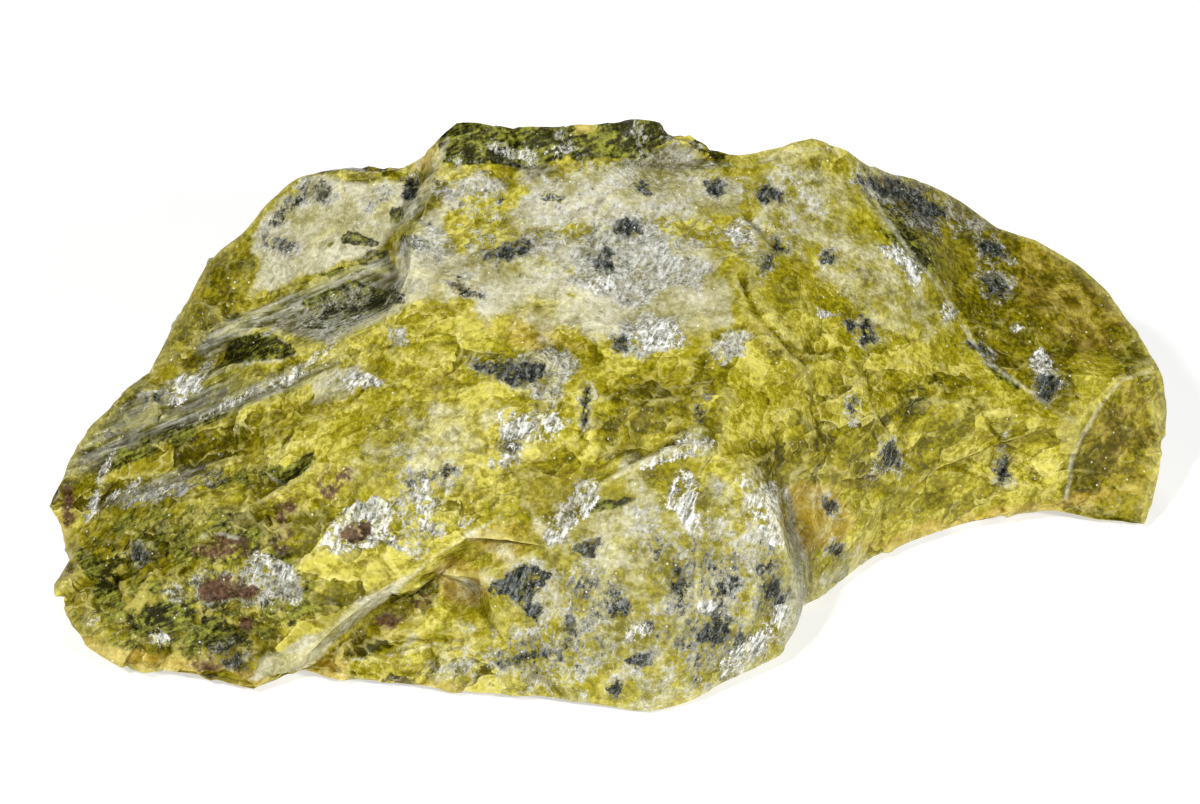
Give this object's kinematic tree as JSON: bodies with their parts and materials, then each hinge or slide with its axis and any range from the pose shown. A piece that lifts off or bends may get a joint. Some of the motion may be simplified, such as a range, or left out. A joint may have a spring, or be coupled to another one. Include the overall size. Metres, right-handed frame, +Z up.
{
  "type": "raw jade boulder",
  "caption": "Rough broken lump of yellow-green jade stone with sharp ridges, chipped faces and a stepped crest, lying on a flat underside; a display or scene-dressing mineral specimen",
  "frame": {"origin": "on the surface that the stone lies on, under the middle of its bounding box", "axes": "+X along the stone's length, to the right in the picture; +Y to its back; +Z up"},
  "size_m": [0.1436, 0.0752, 0.0506],
  "materials": {
    "jade": "waxy broken stone, yellow-green with pale cream and white fibrous patches, grey-black specks and brown stains"
  },
  "bodies": {
    "root": {"boulder": "jade"}
  },
  "joints": []
}
